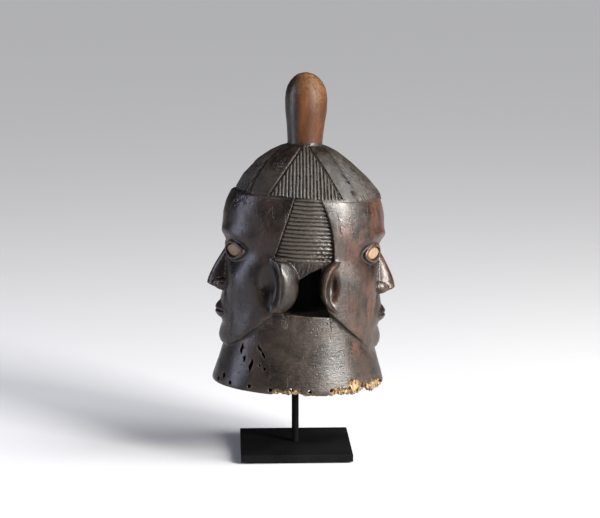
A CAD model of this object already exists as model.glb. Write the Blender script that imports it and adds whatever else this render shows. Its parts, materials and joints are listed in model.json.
# A two-faced carved wooden helmet mask on its display stand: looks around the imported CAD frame.
import json
import math

import bpy
import numpy as np
import openvdb
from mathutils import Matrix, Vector


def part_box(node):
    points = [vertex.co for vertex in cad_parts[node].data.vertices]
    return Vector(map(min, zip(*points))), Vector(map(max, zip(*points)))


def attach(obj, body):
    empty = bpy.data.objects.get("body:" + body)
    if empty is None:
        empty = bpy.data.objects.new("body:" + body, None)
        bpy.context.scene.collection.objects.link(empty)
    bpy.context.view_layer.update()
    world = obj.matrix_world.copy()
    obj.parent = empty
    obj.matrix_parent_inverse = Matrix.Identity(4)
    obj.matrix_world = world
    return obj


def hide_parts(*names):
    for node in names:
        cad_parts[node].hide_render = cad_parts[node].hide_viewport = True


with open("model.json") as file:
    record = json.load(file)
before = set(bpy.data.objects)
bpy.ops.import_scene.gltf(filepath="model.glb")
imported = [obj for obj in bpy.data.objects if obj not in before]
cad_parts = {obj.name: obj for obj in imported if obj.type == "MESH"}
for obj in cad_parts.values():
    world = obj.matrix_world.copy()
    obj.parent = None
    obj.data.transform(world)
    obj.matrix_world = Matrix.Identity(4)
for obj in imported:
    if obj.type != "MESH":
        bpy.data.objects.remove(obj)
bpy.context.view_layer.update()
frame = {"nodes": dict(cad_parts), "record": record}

# ------------------------------------------------------------------ the leaning mask frame
# The mask is carved upright, in millimetres from the centre of its rim, then leaned over.
LEAN = math.radians(2.0)
RIM_CENTRE = np.array([3.5, 0.0, 95.0])


def to_world(p):
    """Points of the mask frame, in mm, as points of the row frame, in metres."""
    c, s = math.cos(LEAN), math.sin(LEAN)
    x, y, z = p[:, 0], p[:, 1], p[:, 2]
    return (np.stack([x * c + z * s, y, z * c - x * s], 1) + RIM_CENTRE) / 1000.0


def turn_to_world(n):
    """Directions of the mask frame in the row frame."""
    c, s = math.cos(LEAN), math.sin(LEAN)
    return np.stack([n[:, 0] * c + n[:, 2] * s, n[:, 1], n[:, 2] * c - n[:, 0] * s], 1)


# ------------------------------------------------------------------ shaping helpers
def smin(a, b, k):
    """The lower of two distances, with the corner between them rounded over k."""
    h = np.maximum(k - np.abs(a - b), 0.0) / k
    return np.minimum(a, b) - h * h * (k * 0.25)


def smax(a, b, k):
    """The higher of two distances, with the corner between them rounded over k."""
    return -smin(-a, -b, k)


def bell(t):
    """1 at 0, falling off smoothly on both sides."""
    return np.exp(-(t * t))


def dome(t2):
    """A round hump of a squared radius: 1 in the middle, 0 from radius 1."""
    return np.sqrt(np.maximum(1.0 - t2, 0.0))


def step(lo, hi, t):
    """0 up to lo, 1 from hi, and smooth between; lo may be the higher of the two."""
    t = np.clip((t - lo) / (hi - lo), 0.0, 1.0)
    return t * t * (3.0 - 2.0 * t)


def profile(rows, soften=2.5):
    """Each row is (height, value, ...). Gives a function of height for each value, its corners eased."""
    rows = np.array(rows, float)
    z = np.arange(rows[0, 0] - 30, rows[-1, 0] + 30, 0.5)
    reach = np.arange(-12, 12.1, 0.5)
    kernel = np.exp(-((reach / soften) ** 2))
    kernel /= kernel.sum()
    made = []
    for column in rows[:, 1:].T:
        raw = np.interp(z, rows[:, 0], column)
        padded = np.pad(raw, len(reach) // 2, mode="edge")
        made.append(np.convolve(padded, kernel, "valid"))
    return lambda h: [np.interp(h, z, column).astype(np.float32) for column in made]


def oval(x, y, a, b):
    """Roughly how far a point is outside an ellipse of half lengths a and b."""
    k0 = np.sqrt((x / a) ** 2 + (y / b) ** 2) + 1e-6
    k1 = np.sqrt((x / (a * a)) ** 2 + (y / (b * b)) ** 2) + 1e-9
    return k0 * (k0 - 1.0) / k1


def blob(x, y, z, centre, radii):
    """Roughly how far a point is outside an ellipsoid."""
    p = [x - centre[0], y - centre[1], z - centre[2]]
    k0 = np.sqrt(sum((q / r) ** 2 for q, r in zip(p, radii))) + 1e-6
    k1 = np.sqrt(sum((q / (r * r)) ** 2 for q, r in zip(p, radii))) + 1e-9
    return k0 * (k0 - 1.0) / k1


def polygon(u, v, points):
    """Signed distance to a polygon, below zero inside."""
    best = None
    inside = None
    for i, (ax, ay) in enumerate(points):
        bx, by = points[i - 1]
        ex, ey = bx - ax, by - ay
        wx, wy = u - ax, v - ay
        t = np.clip((wx * ex + wy * ey) / (ex * ex + ey * ey), 0.0, 1.0)
        d = (wx - ex * t) ** 2 + (wy - ey * t) ** 2
        best = d if best is None else np.minimum(best, d)
        crosses = ((ay > v) != (by > v)) & (u < (bx - ax) * (v - ay) / ((by - ay) or 1e-9) + ax)
        inside = crosses if inside is None else inside ^ crosses
    return np.where(inside, -1.0, 1.0).astype(np.float32) * np.sqrt(best)


GRAIN = np.random.default_rng(7).random((64, 64, 64)).astype(np.float32)


def noise(x, y, z):
    """Smooth noise from 0 to 1 with features one unit across."""
    total = 0.0
    cells = []
    for q in (x, y, z):
        q = np.asarray(q, np.float32)
        low = np.floor(q)
        t = q - low
        cells.append((low.astype(np.int32), t * t * (3 - 2 * t)))
    (i, tx), (j, ty), (k, tz) = cells
    for a in (0, 1):
        wx = tx if a else 1 - tx
        for b in (0, 1):
            wy = ty if b else 1 - ty
            for c in (0, 1):
                wz = tz if c else 1 - tz
                total = total + GRAIN[(i + a) & 63, (j + b) & 63, (k + c) & 63] * wx * wy * wz
    return total


# ------------------------------------------------------------------ dimensions of the carving, mm
COLLAR = profile([
    (-20, 116.5, 97.6), (8, 116.5, 97.8), (21, 112.7, 95.6), (34, 108.6, 93), (46, 105, 91), (60, 101, 89),
    (80, 96.5, 86.5), (110, 92, 84), (150, 86, 80),
])
CORE = profile([(80, 88, 79), (140, 97, 80.8), (180, 98, 81.2), (230, 98, 80.4), (262, 96, 79)])
FACE = profile([
    (30, 98, 80), (48, 103, 84), (60, 105, 87), (80, 105, 89), (100, 106, 90), (128, 105.5, 89.5),
    (160, 104, 88), (185, 104.5, 86.5), (200, 107, 86), (215, 109.3, 85.5), (235, 108.5, 84.2),
    (250, 105, 82.8), (262, 99.5, 80.8), (275, 92, 76),
], 4)
CAP = profile([
    (240, 101, 82, 5.2), (256, 99.6, 80.8, 5), (266, 96.5, 77.8, 3.8), (284, 83.4, 67.8, 0.9),
    (304.5, 62.8, 52.5, -2), (318, 44.5, 38.5, -2), (325, 30, 27.5, -2), (331, 8, 8, -2),
], 2)
KNOB = profile([
    (300, 23.6, -1.8), (331, 23.5, -1.8), (352, 25.4, -1.8), (372, 27.9, -1.8), (386, 28.4, -2),
    (396, 27.6, -2.3), (404, 25.3, -2.6), (411, 21.5, -2.8), (417, 16, -3.1), (420.6, 10.7, -3.3),
    (422.6, 5, -3.4), (423.2, 0.6, -3.4),
], 1.2)
HOLLOW = profile([
    (-30, 105, 86), (0, 105, 86), (30, 98, 82), (60, 91, 77), (110, 82, 71), (180, 80, 69),
    (240, 74, 64), (262, 66, 56), (275, 57, 47.5), (285, 42, 36), (291, 20, 17), (294, 1, 1),
], 3)
CAP_EDGE = 260.5
CAP_SLOPE = math.tan(math.radians(2.2))
HEAD_SEAM = 263
CAP_TOP = 331
KNOB_TOP = 423
HOLLOW_TOP = 292
PANEL_TOP, PANEL_FOOT = 264.0, 178.0
OPENING = [(-26, 109), (36, 106), (30, 122), (26, 148), (22, 171), (8, 165), (-12, 151), (-24, 136)]
RIDGE_PITCH = 5.3
HATCH_PITCH = 4.7

CHIN_Z, CROWN_Z = 48, 326
HEAD = CROWN_Z - CHIN_Z
EYE_Z = CHIN_Z + HEAD * 0.5
NOSE_Z = CHIN_Z + HEAD * 0.29
MOUTH_Z = CHIN_Z + HEAD * 0.19
EYE_OUT, EYE_SIDE, EYE_TURN = 93.5, 36.0, math.radians(30)
EYE_HALF, EYE_RISE = 18.0, 8.5
EYE_FULL = 1.35  # 1 gives an eye two plain arcs for lids, more gives it a fuller outline
LEFT_FACE_DROP = 0.8

HOLE_COUNT = 22
HOLE_RADIUS = 2.5
HOLES = []  # angle round the rim, height
for i in range(HOLE_COUNT):
    degrees = 261.5 + i * 360 / HOLE_COUNT + (1.0, -0.8, 0.3)[i % 3]
    HOLES.append((math.radians(degrees), 9.5 + (0.8, -0.6, 0.1, 0.5)[i % 4]))
SLITS = [  # near side of the collar: x, z, length, width, lean from upright in degrees
    (-78.5, 56.5, 12, 2.6, -8), (-74.8, 44.7, 7, 2.4, -15), (-66.2, 37.5, 17, 4.0, -14),
    (-55.4, 60.9, 9, 2.8, 32), (-50.0, 52.6, 9, 2.8, 24), (-54.7, 38.9, 2.5, 2.2, 0),
    (-48.3, 34.9, 3.5, 3.4, 30), (-101.0, 17.0, 6, 2.2, -15),
]


# ------------------------------------------------------------------ the carving as a distance field
def almond(t, h):
    """Signed distance to the outline of an eye, in the eye's own plane."""
    q = np.abs(t) / EYE_HALF
    w = np.abs(h) / EYE_RISE
    steep = np.sqrt((2 * q / EYE_HALF) ** 2 + (EYE_FULL * w ** (EYE_FULL - 1) / EYE_RISE) ** 2 + 0.0016)
    return (q * q + w**EYE_FULL - 1) / steep


def hairline(x, z):
    """How far from the middle of the head's side each face's hair begins, at a height."""
    z = np.maximum(z, PANEL_FOOT)
    left = 16.3 + 0.305 * (262 - z)
    right = 38.6 - 21.5 * np.clip((z - 180) / 84, 0, 1.1) ** 2.2
    return np.where(x < 0, left, right).astype(np.float32)


def face_relief(u, v, z):
    """How far the carving stands out of the head's oval: u forward, v sideways (both at least 0)."""
    brow_z = EYE_Z + 20 + 5 * bell((v - 32) / 24) - 6 * step(44, 68, v)
    h = 3.6 * bell((z - brow_z) / 7.5) * step(2, 18, v) * (1 - step(48, 72, v))
    h = h - 7.0 * bell((v - EYE_SIDE) / 25) * bell((z - EYE_Z + 1) / 15)
    h = h - 2.5 * bell(v / 10) * bell((z - EYE_Z - 6) / 13)
    h = h + 3.6 * bell((v - 50) / 20) * bell((z - 150) / 20)
    h = h - 2.2 * bell((v - 50) / 17) * bell((z - 104) / 20)
    h = h + 4.5 * bell(v / 36) * bell((z - MOUTH_Z - 1) / 22)
    h = h + 4.2 * bell(v / 25) * bell((z - 66) / 12)
    h = h - 2.4 * bell(v / 24) * bell((z - 84) / 6)
    fold = 24 + (NOSE_Z + 4 - z) * 0.42
    h = h - 1.3 * bell((v - fold) / 4.5) * step(88, 104, z) * (1 - step(128, 140, z))
    h = h - 1.6 * bell(v / 3.4) * step(110, 114, z) * (1 - step(123, 127, z))
    # the nose: a ridge that widens and rises towards its tip, and two wings
    up = np.clip((z - NOSE_Z) / 66.0, 0, 1)
    half = 7.4 + 9.5 * (1 - up) ** 2.2
    rise = 21.0 * (1 - step(0.08, 1.0, up)) ** 0.9 + 1.2 * (1 - step(0.8, 1.0, up))
    base = step(NOSE_Z - 2.5, NOSE_Z + 8.0, z)
    nose = rise * base * np.maximum(1 - (v / half) ** 2, 0) ** 0.62
    wing = 11.0 * dome(((v - 12.6) / 7.0) ** 2 + ((z - NOSE_Z - 8) / 8.6) ** 2)
    h = h + np.maximum(nose, wing) + 0.25 * np.minimum(nose, wing)
    # the lips, closed, with a line between them
    width = np.maximum(1 - (v / 27.5) ** 2, 0)
    above = np.clip((z - MOUTH_Z) / (1.0 + 11.0 * width - 1.2 * bell(v / 3.5)), 0, 1)
    below = np.clip((MOUTH_Z - z) / (1.0 + 11.5 * width), 0, 1)
    upper = 6.0 * width**0.6 * above**0.3 * (1 - above) * 1.7
    lower = 6.4 * width**0.6 * below**0.35 * (1 - below) ** 0.9 * 1.75
    line = 2.0 * bell((z - MOUTH_Z) / 1.2) * width**0.3
    return h + upper + lower - line


def eye(u, v, z):
    """The lids round one eye, and the flat bed cut for its inlay, as (added, removed)."""
    c, s = math.cos(EYE_TURN), math.sin(EYE_TURN)
    n = (u - EYE_OUT) * c + (v - EYE_SIDE) * s
    t = (v - EYE_SIDE) * c - (u - EYE_OUT) * s
    e = almond(t, z - EYE_Z)
    ball = blob(n, t, z - EYE_Z, (-6.5, 0, 0), (9.2, 23, 15.5))
    lid = np.sqrt((e - 2.1) ** 2 + (n - 1.4 + 0.006 * t * t) ** 2) - 2.3
    bed = np.maximum(e - 0.35, -(n + 3.3))
    crease = np.sqrt((e - 7.0) ** 2 + (n + 0.2 + 0.014 * t * t) ** 2) - 1.3 * step(-2, 5, z - EYE_Z)
    return smin(ball, lid, 2.2), np.minimum(bed, crease)


def faces(x, y, z):
    """The two faces, cut off behind at the hairline and below at the jaw."""
    z = z + np.where(x < 0, LEFT_FACE_DROP, 0.0).astype(np.float32)
    u = np.abs(x)
    v = np.abs(y)
    a, b = FACE(z)
    d = oval(u, v, a, b) - face_relief(u, v, z)
    lids, cut = eye(u, v, z)
    d = smin(d, lids, 3.0)
    d = smax(d, -cut, 0.8)
    nostril = blob(u, v, z, (113.5, 8.2, NOSE_Z + 0.2), (6.0, 3.8, 3.6))
    d = smax(d, -nostril, 1.2)
    behind = hairline(x, z) - 15.5 * (1 - step(158, 178, z)) - u
    d = smax(d, behind * np.float32(0.97), 1.6)
    jaw = (144.5 - z - 0.9275 * u + 9 * step(92, 112, u)) * 0.733
    return smax(d, jaw, 4.0)


def ears(x, y, z):
    """The four ears as (added, removed): rolled crescents that stand out behind a deep shell."""
    u = np.abs(x)
    v = np.abs(y)
    wide = np.where(x < 0, 1.0, 0.0).astype(np.float32)
    shift = (1 - wide) * 7 * (1 - step(112, 138, z))
    ro = (np.abs((u - 48.5 + 4 * wide - shift) / (28.5 + 9 * wide)) ** 2.3
          + np.abs((z - 146) / (35.5 + 2 * wide)) ** 2.3) ** (1 / 2.3)
    inner_half = 19.6 - 4.0 * wide
    ri = np.sqrt(((u - 50.6 + 0.4 * wide) / inner_half) ** 2 + ((z - 145.5) / 31) ** 2)
    outside = (ro - 1) * (28.5 + 9 * wide) * 0.9
    inside = (1 - ri) * inner_half * 0.95
    share = np.clip((1 - ro) / ((1 - ro) + np.maximum(ri - 1, 0) + 1e-4), 0, 1)
    roll = np.sin(np.pi * (0.10 + 0.68 * share**0.8))
    fade = 1 - step(30, 47, u) * (0.75 + 0.2 * wide)
    crest = 79.0 + (19.5 * roll + 1.2 * bell((share - 1) / 0.08)) * fade
    flange = smax(smax(outside, inside, 1.4), v - crest, 3.0)
    flange = smax(flange, u - 46, 6.0)
    flange = smax(flange, 73 - v, 1.0)
    left_shell = blob(u, v, z, (47.5, 106, 146), (24, 36.5, 36))
    right_shell = blob(u, v, z, (37.5, 100, 147), (9.5, 26, 25))
    return flange, np.where(x < 0, left_shell, right_shell)


def hatch(across, z, edge):
    """Height of the upright hatching in a triangle; edge is the signed distance to its outline."""
    wander = across + 0.9 * (noise(across / 6 + 20, z / 17 + 9, across * 0) - 0.5)
    ridge = np.abs(np.sin(np.pi * wander / HATCH_PITCH)) ** 0.8
    nicks = 0.6 * noise(across / 2.1, z / 3.0, across * 0)
    return (2.4 * ridge - 1.4 - nicks) * step(-0.6, -2.2, edge)


def cap_edge_z(x):
    """Height of the cap's lower edge, which slopes a little."""
    return CAP_EDGE - CAP_SLOPE * (x + 3)


def cap_relief(x, y, z):
    """The four hatched triangles of the cap, as (height, signed distance to their outlines)."""
    near = np.abs(y) / 80 > 1.15 * np.abs(x - 1) / 100
    foot = cap_edge_z(x) + 1.6
    rise = np.clip((CAP_TOP - z) / (CAP_TOP - foot), 0, 1.2)
    middle = x + 2 - rise
    edge_near = (np.abs(middle) - 48.5 * rise**0.85 + 1.5 * (1 - rise)) * 0.8
    side_half = np.where(x < 0, 46.0, 60.0).astype(np.float32)
    edge_side = (np.abs(y) - side_half * np.sqrt(rise)) * 0.8
    side_edge = np.where(near, edge_near, edge_side)
    edge = np.maximum(side_edge, foot - z)
    across = np.where(near, middle, y) * (1 + 0.10 * (1 - rise))
    depth = np.where(near, 1.0, np.where(x < 0, 1.1, 0.45)).astype(np.float32)
    h = hatch(across * np.where(near | (x < 0), 1.0, 1.45).astype(np.float32), z, edge) * depth
    above_foot = step(-1, 2, z - foot)
    h = h - above_foot * (1.7 * bell((side_edge - 0.1) / 0.95) - 0.45 * bell((side_edge - 2.2) / 1.1))
    return h - 0.8 * bell((foot - z + 0.3) / 0.9) * step(0.5, -0.5, side_edge), edge


def panel_relief(x, y, z):
    """The horizontal ridges of the hair between the faces, and the combed wedge below them."""
    past_right = x - hairline(np.float32(1), z)
    past_left = -x - hairline(np.float32(-1), z)
    edge = np.maximum(np.maximum(past_right, past_left), np.maximum(z - PANEL_TOP, PANEL_FOOT - z))
    side = np.sign(y) * 7
    row = z + 0.035 * x + 1.7 * (noise(x / 24 + 30, z / 12 + 4, side) - 0.5)
    row = row + 0.4 * (noise(x / 5 + 3, z / 5 + 14, side) - 0.5)
    ridge = np.abs(np.sin(np.pi * (row - 178.9) / RIDGE_PITCH)) ** 0.55
    worn = bell((x - 27) / 11) * bell((z - 188) / 10)
    nicks = (0.25 + 1.5 * worn) * noise(x / 2.3 + 8, z / 2.0, side)
    inside = step(0.3, -1.2, edge)
    comb = noise((x + 0.18 * (178 - z)) / 1.5, z / 11, side)
    below = step(178, 176.5, z) * step(140, 146, z)
    h = inside * (2.3 * ridge - 1.4 - nicks) + below * (1.2 * comb - 0.8)
    sides = step(176, 181, z)
    h = h - 1.5 * bell((past_left + 0.2) / 1.0) * sides
    return h + (0.8 * bell((past_right + 0.9) / 0.8) - 1.1 * bell((past_right - 0.9) / 0.9)) * sides, edge


def rim_damage(x, y):
    """The rim's edge, how far it is bitten away above that, how high its skin is off, and how badly."""
    around = np.degrees(np.arctan2(y, x))
    rise = 1.6 - 1.5 * np.cos(np.radians(around) - 0.3)
    long_break = step(-70, -62, around) * (1 - step(-2, 6, around)) * (0.8 + 0.5 * bell((around + 38) / 24))
    short_break = step(-114, -107, around) * (1 - step(-92, -85, around)) * 0.75
    bad = long_break + short_break + 0.16 * step(-92, -85, around) * (1 - step(-70, -62, around))
    bad = bad + 0.5 * bell((around - 85) / 10) + 0.4 * bell((around - 150) / 6)
    still = x * 0
    coarse = noise(x / 8 + 40, y / 8 + 11, still)
    fine = noise(x / 2.3 + 5, y / 2.3 + 31, still)
    tooth = noise(x / 1.5 + 25, y / 1.5 + 3, still)
    bites = 9 * np.maximum(coarse - 0.35, 0) + 10 * np.maximum(fine - 0.42, 0)
    bites = bites + 5 * np.maximum(tooth - 0.4, 0)
    broad = noise(x / 12 + 3, y / 12 + 51, still)
    chips = bad * (4.5 + 12 * np.maximum(broad - 0.25, 0) + 7 * fine + 3 * tooth)
    return rise, bad * bites, np.where(bad > 0.1, chips, 0.0), bad


def pits(x, y, z):
    """How deep the skin is pitted: a rough patch above the -X face's temple."""
    patch = bell((x + 85) / 15) * bell((y + 45) / 20) * bell((z - 254) / 8)
    grain = noise(x / 2.3 + 9, y / 2.3 + 2, z / 3.0 + 5)
    return 1.1 * patch * step(0.52, 0.85, grain)


def rim_hole(x, y, z, angle, height):
    """One hole bored inwards through the collar."""
    along = x * math.cos(angle) + y * math.sin(angle)
    aside = y * math.cos(angle) - x * math.sin(angle)
    return np.maximum(np.sqrt(aside**2 + (z - height) ** 2) - HOLE_RADIUS, 40 - along)


def insect_slit(x, z, middle_x, middle_z, length, width, lean):
    """The outline of one slit, seen from the side."""
    c, s = math.cos(math.radians(lean)), math.sin(math.radians(lean))
    along = ((z - middle_z) * c - (x - middle_x) * s) / (length / 2 + 0.8)
    aside = (x - middle_x) * c + (z - middle_z) * s + 0.5 * np.sin(along * 4 + middle_x)
    return 0.8 * (np.abs(aside) - (width / 2 + 0.1) * np.maximum(1 - along * along, -2))


def on_side(y):
    """1 on the sides of the head, where the hair is, and 0 towards its middle."""
    return step(60, 66, np.abs(y))


def whole_wood(x, y, z, broken=True):
    """The carving in mm, below zero inside. x, y and z broadcast; what they can't meet is skipped."""
    x, y, z = (np.asarray(q, np.float32) for q in (x, y, z))
    low, high = float(z.min()), float(z.max())
    collar_a, collar_b = COLLAR(z)
    hew = 0.22 * np.sin(x * 0.13 + z * 0.05) * np.sin(y * 0.12 - z * 0.07 + 1.0)
    hew = hew + 0.05 * np.sin(z * 0.33 + x * 0.09)
    d = np.broadcast_to(np.float32(99.0), np.broadcast_shapes(x.shape, y.shape, z.shape))
    if low < 150:
        wall = oval(x, y, collar_a, collar_b) + hew
        wall = wall + 5.5 * step(118, 150, z)
        d = smin(d, wall, 4.0)
    if high > 80 and low < 268:
        core_a, core_b = CORE(z)
        core = oval(x, y, core_a, core_b) + hew
        if high > 138:
            core = core - panel_relief(x, y, z)[0] * on_side(y)
        core = smax(smax(core, z - HEAD_SEAM, 1.0), 88 - z, 2.0)
        d = smin(d, core, 3.0)
    if high > 44 and low < 268:
        head = smax(faces(x, y, z) + hew * 1.2, z - HEAD_SEAM, 1.5)
        d = smin(d, head, 1.4)
    if high > 100 and low < 190:
        flange, bowl = ears(x, y, z)
        d = smax(d, -bowl, 7.0)
        d = smax(d, -polygon(x, z, OPENING), 1.2)
        d = smin(d, flange, 2.6)
    if high > 248:
        a, b, centre = CAP(z)
        cap = oval(x - centre, y, a, b) * np.float32(0.9) + 0.6 * hew
        cap = cap - cap_relief(x, y, z)[0] * 0.9
        cap = smax(cap, cap_edge_z(x) - z, 1.4)
        cap = smax(cap, z - CAP_TOP, 2.0)
        d = smin(d, cap, 0.7)
    if high > 300:
        r, centre = KNOB(z)
        knob = np.sqrt((x - centre) ** 2 + y * y) - r + 0.5 * hew
        knob = smax(knob, z - KNOB_TOP, 3.0)
        d = smin(d, knob, 1.2)
    if low < 296:
        a, b = HOLLOW(z)
        gouge = 0.5 * np.sin(x * 0.21 + z * 0.12) * np.sin(y * 0.19 - z * 0.17)
        hollow = smax(oval(x, y, a, b) + gouge, z - HOLLOW_TOP, 4.0)
        d = smax(d, -hollow, 3.0)
    if low < 75:
        rise, bites, chips, _ = rim_damage(x, y)
        d = smax(d, rise - z, 2.6)
        if broken:
            d = smax(d, rise + bites - z, 0.6)
            shell = oval(x, y, collar_a, collar_b)
            depth = 0.8 + 6.5 * noise(x / 2.6 + 9, y / 2.6 + 17, z / 5.5)
            d = smax(d, -np.maximum(-shell - depth, z - rise - chips), 0.5)
            for angle, height in HOLES:
                if low < 20:
                    d = smax(d, -rim_hole(x, y, z, angle, height), 0.7)
            for slit in SLITS:
                if low <= slit[1] + 12 and high >= slit[1] - 12:
                    d = smax(d, -np.maximum(np.maximum(insect_slit(x, z, *slit), y), -shell - 8), 0.4)
    if high > 230 and low < 275:
        skin = np.nonzero(np.abs(d) < 3)
        px, py, pz = (np.broadcast_to(q, d.shape)[skin] for q in (x, y, z))
        d = np.array(d, np.float32)
        d[skin] += pits(px, py, pz)
    return d.astype(np.float32)


# ------------------------------------------------------------------ field to mesh
def carve(voxel):
    """The carving's surface as (points, quads), from its field sampled slab by slab."""
    lo = np.array([-135.0, -110.0, -7.0])
    hi = np.array([135.0, 110.0, 427.0])
    count = np.ceil((hi - lo) / voxel).astype(int) + 1
    axes = [lo[i] + np.arange(count[i]) * voxel for i in range(3)]
    x = axes[0][:, None, None]
    y = axes[1][None, :, None]
    field = np.empty(count, np.float32)
    slab = max(4, int(14 / voxel))
    for start in range(0, count[2], slab):
        z = axes[2][None, None, start:start + slab]
        field[:, :, start:start + slab] = whole_wood(x, y, z)
    band = 3.0 * voxel
    np.clip(field, -band, band, out=field)
    grid = openvdb.FloatGrid(band)
    grid.copyFromArray(field)
    points, quads = grid.convertToQuads(isovalue=0.0)
    return lo + points * voxel, quads


def at(p, broken=True):
    """The field at points."""
    return whole_wood(p[:, 0], p[:, 1], p[:, 2], broken)


def in_blocks(p, work):
    """Runs work over points sorted by height, in blocks, so that each block skips what it can't meet."""
    order = np.argsort(p[:, 2])
    out = None
    for part in np.array_split(order, max(1, len(p) // 20000)):
        got = work(p[part])
        if out is None:
            out = np.empty((len(p),) + got.shape[1:], np.float32)
        out[part] = got
    return out


def slope(p, reach=0.45):
    """Gradient of the field at points."""
    g = []
    for axis in range(3):
        shift = np.zeros(3)
        shift[axis] = reach
        g.append((at(p + shift) - at(p - shift)) / (2 * reach))
    return np.stack(g, 1)


def settle(p):
    """Moves points onto the carving's surface along its slope."""
    g = slope(p)
    size2 = np.maximum((g * g).sum(1), 0.05)
    shift = g * (at(p) / size2)[:, None]
    length = np.linalg.norm(shift, axis=1)
    return p - shift * np.minimum(1.0, 0.6 / np.maximum(length, 1e-6))[:, None]


def placed(name, data):
    """A new object for some data, linked into the scene."""
    obj = bpy.data.objects.new(name, data)
    bpy.context.scene.collection.objects.link(obj)
    return obj


def new_object(name, points, polygons):
    """A smooth object from arrays of points and of polygons that all have the same number of sides."""
    mesh = bpy.data.meshes.new(name)
    mesh.from_pydata([], [], [])
    mesh.vertices.add(len(points))
    mesh.vertices.foreach_set("co", np.asarray(points, np.float32).ravel())
    polygons = np.asarray(polygons, np.int32)
    sides = polygons.shape[1]
    mesh.loops.add(polygons.size)
    mesh.loops.foreach_set("vertex_index", polygons.ravel())
    mesh.polygons.add(len(polygons))
    mesh.polygons.foreach_set("loop_start", np.arange(0, polygons.size, sides, dtype=np.int32))
    mesh.update(calc_edges=True)
    mesh.validate()
    mesh.shade_smooth()
    return placed(name, mesh)


def coordinates(mesh):
    flat = np.empty(len(mesh.vertices) * 3, np.float32)
    mesh.vertices.foreach_get("co", flat)
    return flat.reshape(-1, 3).astype(np.float64)


def applied(obj):
    """The object's mesh with its modifiers applied, and none left."""
    graph = bpy.context.evaluated_depsgraph_get()
    graph.update()
    made = bpy.data.meshes.new_from_object(obj.evaluated_get(graph))
    old = obj.data
    obj.modifiers.clear()
    obj.data = made
    bpy.data.meshes.remove(old)
    return made


def finely_cut(p):
    """1 where the carving is fine: hatching, hair, features, ears, edges, slits and rim. 0.5 on the knob."""
    x, y, z = p.T.astype(np.float32)
    u, v = np.abs(x), np.abs(y)
    hatched = (z > 258) & (z < CAP_TOP) & (cap_relief(x, y, z)[1] < 4)
    hair = (v > 58) & (z > 138) & (z < 264) & (x > -hairline(-1, z) - 3) & (x < hairline(1, z) + 3)
    features = (u > 72) & (np.abs(z - EYE_Z) < 20) | (u > 90) & (v < 32) & (z > 84) & (z < 190)
    ear = (v > 76) & (u < 62) & (np.abs(z - 146) < 42)
    edges = (np.abs(z - cap_edge_z(x)) < 4) | (z < 18) | (y < 0) & (x < -38) & (z < 66)
    edges = edges | (x < -62) & (y < -18) & (y > -78) & (z > 242)
    fine = hatched | hair | features | ear | edges
    return np.maximum(fine, 0.5 * (z > 330)).astype(np.float32)


def hollow_gap(p):
    """How far a point is from the wall of the hollow."""
    a, b = HOLLOW(p[:, 2])
    return np.abs(np.maximum(oval(p[:, 0], p[:, 1], a, b), p[:, 2] - HOLLOW_TOP))


TRIANGLES = 197000
# the higher its weight, the sooner a vertex is merged: plain skin, the knob, fine carving; then the hollow
PLAIN_WEIGHTS = {0.0: 0.85, 0.5: 0.6, 1.0: 0.02}
HOLLOW_WEIGHT = 1.0


def helmet():
    """The carving as (object, its points in the mask frame), its mesh fine only where the carving is."""
    points, quads = carve(1.0)
    obj = new_object("helmet_carving", points, quads)
    fine = in_blocks(points, finely_cut)
    in_hollow = in_blocks(points, hollow_gap) < 2.5
    group = obj.vertex_groups.new(name="plain")
    for level, weight in PLAIN_WEIGHTS.items():
        group.add(np.nonzero(fine == level)[0].tolist(), weight, "REPLACE")
    group.add(np.nonzero(in_hollow)[0].tolist(), HOLLOW_WEIGHT, "REPLACE")
    cut = obj.modifiers.new("cut", "DECIMATE")
    cut.ratio = min(1.0, TRIANGLES / (2.0 * len(quads)))
    cut.vertex_group = "plain"
    cut.vertex_group_factor = 30.0
    points = coordinates(applied(obj))
    for _ in range(2):
        points = in_blocks(points, settle).astype(np.float64)
    return obj, points


def shelter(p, normals):
    """How enclosed a point is: 0 in the open, towards 1 deep in a hollow."""
    total = 0
    for reach, share in ((2.5, 0.4), (6.0, 0.35), (14.0, 0.25)):
        clear = in_blocks(p + normals * reach, at)
        total = total + share * np.clip(1 - clear / reach, 0, 1)
    return total


def bulge(p):
    """The field's sum 3 mm away on all six sides: highest on outer edges."""
    return sum(at(p + sign * axis) for axis in np.eye(3) for sign in (3.0, -3.0))


def attribute(mesh, name, values):
    layer = mesh.attributes.new(name, "FLOAT", "POINT")
    layer.data.foreach_set("value", np.asarray(values, np.float32))


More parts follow.
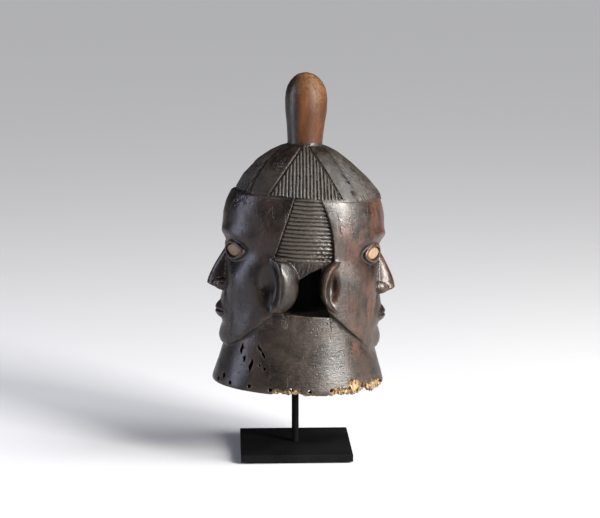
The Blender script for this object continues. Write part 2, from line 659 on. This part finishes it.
# ------------------------------------------------------------------ materials
class Paint:
    """Builds one procedural material; every method gives an output socket."""

    def __init__(self, name):
        self.material = bpy.data.materials.new(name)
        self.material.use_nodes = True
        self.tree = self.material.node_tree
        self.shader = self.tree.nodes["Principled BSDF"]
        self.place = self.tree.nodes.new("ShaderNodeTexCoord").outputs["Object"]

    def node(self, kind, inputs=(), output=0, **settings):
        made = self.tree.nodes.new("ShaderNode" + kind)
        for key, value in settings.items():
            setattr(made, key, value)
        for key, value in dict(inputs).items():
            if isinstance(value, bpy.types.NodeSocket):
                self.tree.links.new(value, made.inputs[key])
            elif value is not None:
                made.inputs[key].default_value = value
        return made.outputs[output]

    def maths(self, operation, a, b=None):
        return self.node("Math", {0: a, 1: b}, operation=operation)

    def noise(self, scale, detail=4.0, rough=0.55, stretch=(1, 1, 1), twist=0.0):
        place = self.node("Mapping", {0: self.place, 3: stretch})
        inputs = {"Vector": place, "Scale": scale, "Detail": detail, "Roughness": rough, "Distortion": twist}
        return self.node("TexNoise", inputs)

    def cells(self, scale):
        return self.node("TexVoronoi", {"Vector": self.place, "Scale": scale})

    def attribute(self, name):
        return self.node("Attribute", output=2, attribute_name=name)

    def ramp(self, value, low, high, first=0.0, last=1.0):
        inputs = {0: value, 1: low, 2: high, 3: first, 4: last}
        return self.node("MapRange", inputs, interpolation_type="SMOOTHSTEP")

    def mix(self, share, a, b):
        as_colour = [q if isinstance(q, bpy.types.NodeSocket) else (*q, 1.0) for q in (a, b)]
        return self.node("Mix", {0: share, 6: as_colour[0], 7: as_colour[1]}, 2, data_type="RGBA")

    def bump(self, height, strength, distance, under=None):
        inputs = {"Height": height, "Strength": strength, "Distance": distance, "Normal": under}
        return self.node("Bump", inputs)

    def finish(self, **sockets):
        for key, value in sockets.items():
            socket = self.shader.inputs[key.replace("_", " ")]
            if isinstance(value, bpy.types.NodeSocket):
                self.tree.links.new(value, socket)
            else:
                socket.default_value = (*value, 1.0) if isinstance(value, tuple) else value
        return self.material


def patinated_wood():
    m = Paint("patinated_wood")
    blotch = m.noise(24, 8, 0.68, twist=0.5)
    cloud = m.noise(9, 4)
    fleck = m.noise(310, 4, 0.7)
    fibre = m.noise(300, 5, 0.65, stretch=(1, 1, 0.10))
    streak = m.noise(34, 7, 0.66, stretch=(1, 1, 0.30), twist=0.4)
    scrape = m.noise(420, 4, 0.7, stretch=(0.16, 0.16, 1.6), twist=0.3)
    grain = m.noise(70, 5, 0.6, stretch=(1, 1, 0.07))
    split = m.maths("ABSOLUTE", m.maths("SUBTRACT", grain, 0.5))
    cracks = m.maths("MULTIPLY", m.ramp(split, 0.0, 0.009, 1.0, 0.0), m.ramp(m.noise(17, 3), 0.52, 0.64))
    crest, worn, raw, cap, knob, warm, inside, dust, deep = [
        m.attribute(name)
        for name in ("crest", "worn", "raw", "cap", "knob", "warm", "inside", "dust", "deep")
    ]
    # the dark patina, with brown flecks where it is thin
    colour = m.mix(m.ramp(blotch, 0.36, 0.66), (0.0085, 0.0068, 0.0062), (0.027, 0.0185, 0.0145))
    colour = m.mix(m.ramp(fleck, 0.54, 0.76, 0.0, 0.4), colour, (0.060, 0.040, 0.029))
    # red-brown wear, in streaks along the grain, and on the edges
    streaks = m.maths("ADD", streak, m.maths("MULTIPLY", fleck, 0.25))
    red = m.maths("MULTIPLY", m.ramp(streaks, 0.56, 0.76), warm)
    colour = m.mix(m.maths("MULTIPLY", red, 0.85), colour, (0.092, 0.041, 0.027))
    rub = m.maths("MULTIPLY", worn, m.ramp(m.maths("ADD", fleck, blotch), 0.84, 1.12))
    colour = m.mix(m.maths("MULTIPLY", rub, 0.65), colour, (0.105, 0.060, 0.039))
    # the handled knob
    knob_tone = m.mix(m.ramp(streak, 0.35, 0.65), (0.048, 0.0165, 0.0065), (0.108, 0.043, 0.0155))
    knob_tone = m.mix(m.ramp(fibre, 0.45, 0.75, 0.0, 0.40), knob_tone, (0.045, 0.018, 0.011))
    stains = m.ramp(m.maths("ADD", fleck, blotch), 1.02, 1.22, 0.0, 0.75)
    knob_tone = m.mix(stains, knob_tone, (0.026, 0.011, 0.007))
    ochre = m.maths("MULTIPLY", m.ramp(m.maths("ADD", fleck, cloud), 0.96, 1.14), worn)
    knob_tone = m.mix(m.maths("MULTIPLY", ochre, 0.55), knob_tone, (0.17, 0.107, 0.052))
    colour = m.mix(knob, colour, knob_tone)
    # dull grime on the cap, and a thin haze on the collar
    mottle = m.maths("ADD", blotch, m.maths("MULTIPLY", fleck, 0.5))
    grime = m.maths("MULTIPLY", cap, m.ramp(mottle, 0.62, 1.0))
    colour = m.mix(m.maths("MULTIPLY", grime, 0.8), colour, (0.036, 0.0305, 0.023))
    dusting = m.maths("ADD", mottle, m.maths("MULTIPLY", scrape, 0.35))
    haze = m.maths("MULTIPLY", dust, m.ramp(dusting, 0.55, 1.20))
    colour = m.mix(m.maths("MULTIPLY", haze, 0.45), colour, (0.070, 0.056, 0.044))
    # rubbed crests and dark grooves of the carved hair
    tan = m.maths("MULTIPLY", m.maths("MAXIMUM", crest, 0.0), m.ramp(fleck, 0.3, 0.62, 0.45, 1.0))
    colour = m.mix(m.maths("MINIMUM", tan, 0.8), colour, (0.068, 0.059, 0.050))
    colour = m.mix(m.ramp(crest, -0.8, -0.1, 0.9, 0.0), colour, (0.0055, 0.0045, 0.004))
    colour = m.mix(m.ramp(deep, 0.25, 0.65, 0.0, 0.9), colour, (0.0055, 0.0045, 0.004))
    colour = m.mix(cracks, colour, (0.004, 0.0035, 0.003))
    # bare wood: rough inside the hollow, pale where the rim has broken
    bare = m.mix(m.ramp(fibre, 0.34, 0.66), (0.085, 0.045, 0.021), (0.38, 0.265, 0.145))
    bare = m.mix(m.ramp(fleck, 0.52, 0.68, 0.0, 0.75), bare, (0.055, 0.027, 0.013))
    hollow = m.mix(m.ramp(fibre, 0.3, 0.7), (0.016, 0.010, 0.007), (0.05, 0.031, 0.02))
    colour = m.mix(inside, colour, hollow)
    colour = m.mix(raw, colour, bare)
    # how rough it is, and its fine relief
    unhandled = m.maths("MAXIMUM", m.ramp(deep, 0.25, 0.7), inside)
    matt = m.maths("MAXIMUM", m.maths("MAXIMUM", raw, grime), unhandled)
    rough = m.maths("ADD", m.ramp(blotch, 0.3, 0.7, 0.25, 0.35), m.maths("MULTIPLY", matt, 0.34))
    rough = m.maths("ADD", rough, m.maths("MULTIPLY", knob, 0.15))
    rough = m.maths("ADD", rough, m.ramp(m.maths("MAXIMUM", fleck, scrape), 0.48, 0.78, 0.0, 0.15))
    normal = m.bump(fibre, 0.16, 0.0006)
    marks = m.maths("MULTIPLY", scrape, m.maths("ADD", m.maths("MULTIPLY", dust, 0.7), 0.3))
    normal = m.bump(marks, 0.5, 0.0007, normal)
    normal = m.bump(fleck, 0.26, 0.0007, normal)
    normal = m.bump(m.noise(60, 4, 0.5), 0.28, 0.0016, normal)
    normal = m.bump(m.maths("SUBTRACT", 1.0, cracks), 0.6, 0.0008, normal)
    dents = m.maths("MAXIMUM", m.ramp(m.cells(150), 0.06, 0.2), m.ramp(cloud, 0.48, 0.58))
    normal = m.bump(dents, 0.35, 0.0008, normal)
    dull = m.maths("MAXIMUM", knob, m.maths("MULTIPLY", cap, 0.6))
    shine = m.maths("SUBTRACT", 0.5, m.maths("MULTIPLY", dull, 0.22))
    return m.finish(Base_Color=colour, Roughness=rough, Normal=normal, Specular_IOR_Level=shine)


def pale_inlay():
    m = Paint("pale_inlay")
    fibre = m.noise(300, 4, 0.6, stretch=(1, 1, 0.15))
    stain = m.noise(70, 4)
    colour = m.mix(m.ramp(fibre, 0.3, 0.7), (0.165, 0.110, 0.064), (0.27, 0.200, 0.125))
    colour = m.mix(m.ramp(stain, 0.52, 0.75), colour, (0.20, 0.105, 0.05))
    colour = m.mix(m.attribute("rim"), colour, (0.10, 0.05, 0.026))
    normal = m.bump(m.noise(700, 3), 0.3, 0.0004, m.bump(fibre, 0.3, 0.0005))
    return m.finish(Base_Color=colour, Roughness=m.ramp(stain, 0.3, 0.7, 0.5, 0.72), Normal=normal)


def black_steel():
    m = Paint("black_steel")
    haze = m.noise(14, 4)
    hair = m.noise(700, 2, stretch=(1, 0.02, 1))
    lint = m.ramp(m.cells(420), 0.02, 0.06, 1.0, 0.0)
    lint = m.maths("MULTIPLY", lint, m.ramp(m.noise(55, 2), 0.56, 0.66))
    colour = m.mix(m.ramp(haze, 0.35, 0.7), (0.0065, 0.0065, 0.007), (0.012, 0.012, 0.013))
    colour = m.mix(m.maths("MULTIPLY", lint, 0.5), colour, (0.10, 0.10, 0.10))
    rough = m.maths("ADD", m.ramp(haze, 0.3, 0.7, 0.62, 0.72), m.ramp(hair, 0.55, 0.75, 0.0, 0.08))
    normal = m.bump(m.noise(900, 2), 0.12, 0.0002, m.bump(hair, 0.05, 0.0002))
    return m.finish(Base_Color=colour, Roughness=rough, Normal=normal, Specular_IOR_Level=0.08)


def bare_metal(name, low, high, roughness):
    m = Paint(name)
    turned_lines = m.noise(900, 2, stretch=(0.05, 0.05, 1))
    tarnish = m.noise(60, 4)
    colour = m.mix(m.ramp(tarnish, 0.35, 0.7), low, high)
    rough = m.ramp(turned_lines, 0.3, 0.7, roughness, roughness + 0.15)
    normal = m.bump(turned_lines, 0.12, 0.0003)
    return m.finish(Base_Color=colour, Metallic=1.0, Roughness=rough, Normal=normal)


def black_felt():
    m = Paint("black_felt")
    fluff = m.noise(1400, 4, 0.7)
    lie = m.noise(220, 4, 0.65, twist=1.5)
    colour = m.mix(m.ramp(fluff, 0.35, 0.7), (0.004, 0.004, 0.0045), (0.016, 0.016, 0.0175))
    normal = m.bump(lie, 0.5, 0.0010, m.bump(fluff, 0.6, 0.0006))
    return m.finish(Base_Color=colour, Roughness=0.95, Normal=normal, Sheen_Weight=0.07, Sheen_Roughness=0.5)


def painted_wood():
    m = Paint("painted_wood")
    brush = m.noise(240, 3, stretch=(1, 1, 0.06))
    colour = m.mix(m.ramp(brush, 0.35, 0.7), (0.0045, 0.0045, 0.005), (0.0075, 0.0075, 0.008))
    normal = m.bump(brush, 0.35, 0.0006)
    return m.finish(Base_Color=colour, Roughness=0.85, Normal=normal, Specular_IOR_Level=0.2)


def nylon():
    m = Paint("nylon")
    colour = m.mix(m.noise(90, 2), (0.60, 0.57, 0.50), (0.70, 0.68, 0.62))
    normal = m.bump(m.noise(500, 2), 0.15, 0.0003)
    return m.finish(Base_Color=colour, Roughness=0.45, Normal=normal)


LOOKS = {  # by material slot
    "patinated_wood": patinated_wood(),
    "pale_inlay": pale_inlay(),
    "black_felt": black_felt(),
    "black_steel": black_steel(),
    "bare_steel": bare_metal("bare_steel", (0.30, 0.30, 0.31), (0.45, 0.45, 0.46), 0.28),
    "brass": bare_metal("brass", (0.42, 0.27, 0.10), (0.62, 0.44, 0.19), 0.26),
    "painted_wood": painted_wood(),
    "nylon": nylon(),
}
for part in frame["record"]["subparts"]:
    data = frame["nodes"][part["node"]].data
    data.materials.clear()
    data.materials.append(LOOKS[part["material_slot"]])


def stands_for(obj, node, body, slot):
    """Shows a piece instead of a CAD node: it moves with the body and has the slot's material."""
    obj.data.materials.append(LOOKS[slot])
    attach(obj, body)
    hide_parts(node)


# ------------------------------------------------------------------ the mask
def zones(points, normals):
    """How strongly each look of the wood shows at each point, by the name of its attribute."""
    x, y, z = points.T
    inside = step(4.0, 1.5, in_blocks(points, hollow_gap))
    unbroken = in_blocks(points, lambda p: at(p, broken=False))
    raw = step(-0.25, -1.0, unbroken) * step(30, 24, z) * step(0.05, 0.2, rim_damage(x, y)[3])
    shown = (1 - inside) * (1 - raw)
    cap = step(-1.5, 1.0, z - cap_edge_z(x)) * step(332, 328, z)
    knob = step(328, 333, z)
    handled = 0.12 + 0.88 * step(-15, -6, x + 3 * noise(x / 9, y / 9, z / 30) - 0.15 * np.maximum(y, 0))
    panel, edge = panel_relief(x, y, z)
    on_panel = step(0.5, -0.5, edge) * on_side(y) * step(HEAD_SEAM, 259, z)
    top, top_edge = cap_relief(x, y, z)
    on_top = cap * step(0.3, -0.7, top_edge)
    crest = on_panel * (panel + 0.35) * 1.1 + on_top * (top + 0.35) * 1.1
    worn = step(0.9, 3.2, in_blocks(points, bulge) / 1.5) * (1 - on_panel) * (1 - on_top)
    worn = worn + 0.8 * knob * step(372, 400, z)
    front = step(30, 46, np.abs(x)) * step(262, 258, z) * step(44, 52, z)
    patchy = step(0.35, 0.65, noise(x / 26 + 2, y / 26 + 8, z / 42 + 5))
    warm = np.where(x > 0, 0.30 + 0.55 * patchy, 0.10 + 0.25 * patchy) * front
    warm = warm + 0.45 * step(214, 236, z) * step(262, 254, z) * step(60, 84, x)
    low = step(118, 100, z)
    dust = low * (0.35 + 0.65 * step(-60, -10, x)) * step(0, -40, y) + 0.35 * low * step(0, 40, y)
    return {
        "crest": crest * shown,
        "worn": worn * shown,
        "raw": raw,
        "cap": cap * shown,
        "knob": knob * handled,
        "warm": np.clip(warm, 0, 1) * shown,
        "inside": inside,
        "dust": dust * shown,
        "deep": shelter(points, normals) * (1 - raw),
    }


def add_mask():
    carving, points = helmet()
    mesh = carving.data
    normals = in_blocks(points, slope)
    normals /= np.linalg.norm(normals, axis=1, keepdims=True)
    for name, values in zones(points, normals).items():
        attribute(mesh, name, values)
    mesh.vertices.foreach_set("co", to_world(points).astype(np.float32).ravel())
    mesh.update()
    mesh.shade_smooth()
    mesh.normals_split_custom_set_from_vertices(turn_to_world(normals).astype(np.float32).tolist())
    stands_for(carving, "helmet_mask", "mask", "patinated_wood")


def add_inlay(name, node, forward, side):
    """A thin plate of pale wood in an eye, a little domed, with a softened edge."""
    rings, around = 9, 56
    angles = np.arange(around) * 2 * np.pi / around
    half, rise = EYE_HALF - 0.1, EYE_RISE - 0.05
    t = half * np.cos(angles)
    h = np.sign(np.sin(angles)) * rise * (1 - (t / half) ** 2) ** (1 / EYE_FULL)
    points, rim = [(0.0, 0.0, 0.25)], [0.0]
    for ring in range(1, rings + 1):
        r = (ring / rings) ** 0.8
        n = 0.25 - 0.55 * r**4 + 0.06 * np.sin(t * r * 1.7 + h * 2.1)
        points += list(zip(t * r, h * r, n))
        rim += [0.85 * float(ring >= rings - 1)] * around
    for r, n in ((0.985, -1.0), (0.97, -3.0)):
        points += list(zip(t * r, h * r, np.full(around, n)))
        rim += [1.0] * around
    points.append((0.0, 0.0, -3.0))
    rim.append(1.0)
    triangles = []
    levels = rings + 2
    for i in range(around):
        j = (i + 1) % around
        triangles.append((0, 1 + i, 1 + j))
        for level in range(levels - 1):
            a, b = 1 + level * around, 1 + (level + 1) * around
            triangles += [(a + i, b + i, b + j), (a + i, b + j, a + j)]
        last = 1 + (levels - 1) * around
        triangles.append((last + j, last + i, len(points) - 1))
    t, h, n = np.array(points).T
    c, s = math.cos(EYE_TURN), math.sin(EYE_TURN)
    u = EYE_OUT + n * c - t * s
    v = EYE_SIDE + n * s + t * c
    height = EYE_Z + h - (LEFT_FACE_DROP if forward < 0 else 0.0)
    place = np.stack([forward * u, side * v, height], 1)
    triangles = np.array(triangles)
    if forward * side < 0:
        triangles = triangles[:, ::-1]
    obj = new_object(name, to_world(place), triangles)
    attribute(obj.data, "rim", rim)
    stands_for(obj, node, "mask", "pale_inlay")


add_mask()
for face_name, forward in (("right", 1), ("left", -1)):
    for letter, side in (("a", 1), ("b", -1)):
        node = f"{face_name}_face_eye_inlay_{letter}"
        add_inlay(node + "_carved", node, forward, forward * side)


# ------------------------------------------------------------------ what holds the mask, inside it
def body_of_rings(name, rings):
    """A closed body from rings of equal length; the first and last ring close to their middles."""
    n = len(rings[0])
    points = [rings[0].mean(0)] + [p for ring in rings for p in ring] + [rings[-1].mean(0)]
    last = 1 + (len(rings) - 1) * n
    corners = []
    for i in range(n):
        j = (i + 1) % n
        corners.append((0, 1 + j, 1 + i))
        for a in range(1, last, n):
            b = a + n
            corners.append((a + i, a + j, b + j, b + i))
        corners.append((last + i, last + j, len(points) - 1))
    mesh = bpy.data.meshes.new(name)
    mesh.from_pydata(np.array(points), [], corners)
    mesh.validate()
    mesh.shade_smooth()
    return placed(name, mesh)


# the crown block: height, half length, half width
BLOCK = [(104, 34, 34), (112, 41, 40), (180, 47, 44), (262, 49, 41), (273, 49, 41), (281, 39, 33),
         (286, 19.5, 16.5), (287.7, 1, 1)]
BORE_RADIUS = 7.3
TURN = np.arange(96) * 2 * np.pi / 96


def block_ring(height, grow=0.0, up=0.0, ruffle=0.0):
    """One level ring round the crown block in the mask frame, grown outwards and moved up, in metres."""
    rows = np.array(BLOCK, float)
    a, b = (np.interp(height, rows[:, 0], rows[:, i]) for i in (1, 2))
    edge = grow + ruffle
    ring = [(a + edge) * np.cos(TURN), (b + edge) * np.sin(TURN), np.full(len(TURN), height + up)]
    return to_world(np.stack(ring, 1))


def crown_block():
    """The painted block, with the bore that the socket tube stands in."""
    levels = [104, 105, 108, 112, 125, 150, 180, 210, 240, 262, 268, 273, 275.5, 278, 281, 283.5, 286, 287.3]
    outside = [block_ring(h) for h in levels]
    bore = []
    for height in (levels[0], 130.0, 160.0, 209.0):
        middle = -RIM_CENTRE[0] - height * math.tan(LEAN)
        ring = [middle + BORE_RADIUS * np.cos(TURN), BORE_RADIUS * np.sin(TURN), np.full(len(TURN), height)]
        bore.append(to_world(np.stack(ring, 1)))
    return body_of_rings("crown_block_turned", bore[::-1] + outside)


def crown_felt():
    """A felt cap pulled down over the block: it puckers a little towards its cut edge."""
    levels = [240, 243, 248, 255, 262, 268, 273, 275.5, 278, 281, 283.5, 286, 287.3]
    folds = 0.5 * np.sin(17 * TURN + 0.8 * np.sin(3 * TURN)) + 0.3 * np.sin(29 * TURN + 1.0)
    wave = 0.9 * np.sin(5 * TURN + 0.4) + 0.5 * np.sin(11 * TURN)
    outside, inside = [], []
    for height in levels:
        loose = float(step(272, 240, height))
        lump = 0.12 * np.sin(9 * TURN + height * 0.21)
        drop = np.stack([0 * TURN, 0 * TURN, (wave - 1.4) * float(step(250, 240, height)) * 0.001], 1)
        outside.append(block_ring(height, 2.75, 2.7, 0.4 * loose * folds + lump) + drop)
        inside.append(block_ring(height, 0.32, 0.32) + drop)
    edge = (outside[0] + inside[0]) / 2 - np.array([0, 0, 0.0006])
    return body_of_rings("crown_felt_cap", inside[::-1] + [edge] + outside)


def axes_at(angle):
    """Unit vectors outwards, sideways and up, for an arm at an angle."""
    out = np.array([math.cos(angle), math.sin(angle), 0.0])
    return out, np.array([-out[1], out[0], 0.0]), np.array([0.0, 0.0, 1.0])


def disc_pad(node, angle):
    """A felt disc pressed against the hollow's wall, with a soft edge and a slightly crowned face."""
    lo, hi = (np.array(corner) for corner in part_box(node))
    middle = (lo + hi) / 2
    out, aside, up = axes_at(angle)
    turn = np.arange(48) * 2 * np.pi / 48
    rings = []
    for radius, depth in ((2.5, -1.42), (5.0, -1.4), (6.8, -1.3), (7.6, -0.95), (7.95, -0.3), (7.95, 0.35),
                          (7.6, 0.95), (6.8, 1.3), (5.0, 1.42), (2.5, 1.47)):
        r = radius * (1 + 0.008 * np.sin(5 * turn + 2) + 0.005 * np.sin(13 * turn))
        d = depth * (1 + 0.04 * np.sin(3 * turn + radius))
        ring = np.outer(r * np.cos(turn), aside) + np.outer(r * np.sin(turn), up) + np.outer(d, out)
        rings.append(middle + ring / 1000)
    return body_of_rings(node + "_felt", rings)


def spreader_arm(node, pad_node, angle):
    """A round brass rod from the hub's socket, bent up to the middle of its pad."""
    lo, hi = (np.array(corner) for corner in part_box(pad_node))
    reach = float(np.hypot(*((lo + hi) / 2)[:2])) - 0.0016
    out, aside, up = axes_at(angle)
    turn = np.arange(24) * 2 * np.pi / 24
    low, high = 0.152, 0.160
    runs = np.concatenate([[0.0093, 0.0098], np.linspace(0.018, reach - 0.006, 26), [reach - 0.0005, reach]])
    rings = []
    for i, run in enumerate(runs):
        share = float(step(0.034, reach - 0.004, run))
        thick = 0.0025 - (0.0005 if i in (0, len(runs) - 1) else 0.0)
        middle = out * run + up * (low + (high - low) * share)
        rings.append(middle + thick * (np.outer(np.cos(turn), aside) + np.outer(np.sin(turn), up)))
    return body_of_rings(node + "_rod", rings)


def foot_pad():
    """The felt glued under the base plate: a thin square with softly cut corners and edges."""
    lo, hi = (np.array(corner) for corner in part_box("base_foot_pad"))
    half, thick = (hi - lo)[0] / 2, (hi - lo)[2]
    turn = np.arange(160) * 2 * np.pi / 160
    square = np.minimum(1 / np.maximum(np.abs(np.cos(turn)), np.abs(np.sin(turn))), 1.375)
    rings = []
    levels = [(60, 0.05), (30, 0.04), (8, 0.03), (1.2, 0.05), (0.35, 0.3), (0.05, 0.8),
              (0.05, 1.4), (0.4, 1.8), (1.2, 1.95), (8, 1.98), (30, 1.98), (60, 1.98)]
    for inset, height in levels:
        r = (half - inset / 1000) * square * (1 - 0.0012 * (1 + np.sin(31 * turn)) * (inset < 1))
        z = np.full(len(turn), lo[2] + height / 1000) + (0.00003 * np.sin(7 * turn) if inset > 1 else 0)
        rings.append(np.stack([r * np.cos(turn), r * np.sin(turn), np.minimum(z, lo[2] + thick)], 1))
    return body_of_rings("base_foot_felt", rings)


stands_for(crown_block(), "crown_block", "armature", "painted_wood")
felt_pieces = [(crown_felt(), "crown_felt", "armature"), (foot_pad(), "base_foot_pad", "stand")]
for i in range(4):
    arm_angle = math.radians(45 + 90 * i)
    arm_node, pad_node = f"spreader_arm_{i + 1}", f"arm_pad_{i + 1}"
    stands_for(spreader_arm(arm_node, pad_node, arm_angle), arm_node, "armature", "brass")
    felt_pieces.append((disc_pad(pad_node, arm_angle), pad_node, "armature"))
for pad, node, body in felt_pieces:
    stands_for(pad, node, body, "black_felt")


# ------------------------------------------------------------------ camera, floor and light
camera = placed("camera", bpy.data.cameras.new("camera"))
camera.data.lens = 120
camera.data.sensor_width = 36
camera.data.clip_end = 50
AIM_DOWN, AIM_RIGHT = math.radians(9.4), math.radians(2.2)
forward = Vector((math.sin(AIM_RIGHT) * math.cos(AIM_DOWN), math.cos(AIM_RIGHT) * math.cos(AIM_DOWN),
                  -math.sin(AIM_DOWN)))
camera.location = (-0.09589, -2.66782, 0.70734)
camera.rotation_euler = forward.to_track_quat("-Z", "Y").to_euler()
bpy.context.scene.camera = camera

floor_mesh = bpy.data.meshes.new("floor")
floor_mesh.from_pydata([(-90, -90, 0), (90, -90, 0), (90, 90, 0), (-90, 90, 0)], [], [(0, 1, 2, 3)])
floor_mesh.materials.append(Paint("pale_floor").finish(Base_Color=(0.62, 0.62, 0.63), Roughness=0.8))
floor = placed("floor", floor_mesh)

# a pale wall far behind everything, seen but giving no light, so that low views end in the floor's own grey
WALL_RADIUS, WALL_HEIGHT, WALL_SIDES = 22, 18, 64
round_wall = [
    (WALL_RADIUS * math.cos(a), WALL_RADIUS * math.sin(a), z)
    for z in (0, WALL_HEIGHT)
    for a in np.arange(WALL_SIDES) * 2 * math.pi / WALL_SIDES
]
wall_quads = []
for i in range(WALL_SIDES):
    j = (i + 1) % WALL_SIDES
    wall_quads.append((i, j, WALL_SIDES + j, WALL_SIDES + i))
wall_mesh = bpy.data.meshes.new("backdrop")
wall_mesh.from_pydata(round_wall, [], wall_quads)
wall_mesh.materials.append(Paint("backdrop").finish(
    Base_Color=(0, 0, 0), Specular_IOR_Level=0.0, Emission_Color=(0.42, 0.42, 0.43), Emission_Strength=1.0))
wall = placed("backdrop", wall_mesh)
wall.visible_diffuse = wall.visible_glossy = wall.visible_transmission = wall.visible_shadow = False

world = bpy.data.worlds.new("studio")
world.use_nodes = True
world.node_tree.nodes["Background"].inputs["Color"].default_value = (0.86, 0.88, 0.92, 1)
world.node_tree.nodes["Background"].inputs["Strength"].default_value = 0.08
bpy.context.scene.world = world
bpy.context.scene.view_settings.view_transform = "Standard"
bpy.context.scene.view_settings.look = "Medium High Contrast"


def softbox(name, place, target, size, power, colour):
    """A rectangular studio light at a place, turned to a target."""
    light = bpy.data.lights.new(name, "AREA")
    light.shape = "RECTANGLE"
    light.size, light.size_y = size
    light.energy = power
    light.color = colour
    obj = placed(name, light)
    obj.location = place
    obj.rotation_euler = (Vector(target) - Vector(place)).to_track_quat("-Z", "Y").to_euler()


def sun(name, azimuth, height, spread, power):
    """Even light over the whole floor; azimuth is from -Y towards +X, and all angles are in degrees."""
    light = bpy.data.lights.new(name, "SUN")
    light.angle = math.radians(spread)
    light.energy = power
    placed(name, light).rotation_euler = (math.radians(90 - height), 0, math.radians(azimuth))


softbox("key", (1.80, -1.64, 1.10), (0, 0, 0.28), (0.8, 1.4), 142, (1, 0.975, 0.94))
softbox("left_panel", (-2.0, -0.15, 0.75), (0, 0, 0.28), (0.7, 1.6), 18, (0.76, 0.80, 1))
softbox("left_kicker", (-1.0, -1.2, 1.5), (0, 0, 0.35), (0.25, 0.5), 3.0, (0.95, 0.97, 1))
sun("window", 75, 48, 34, 2.5)
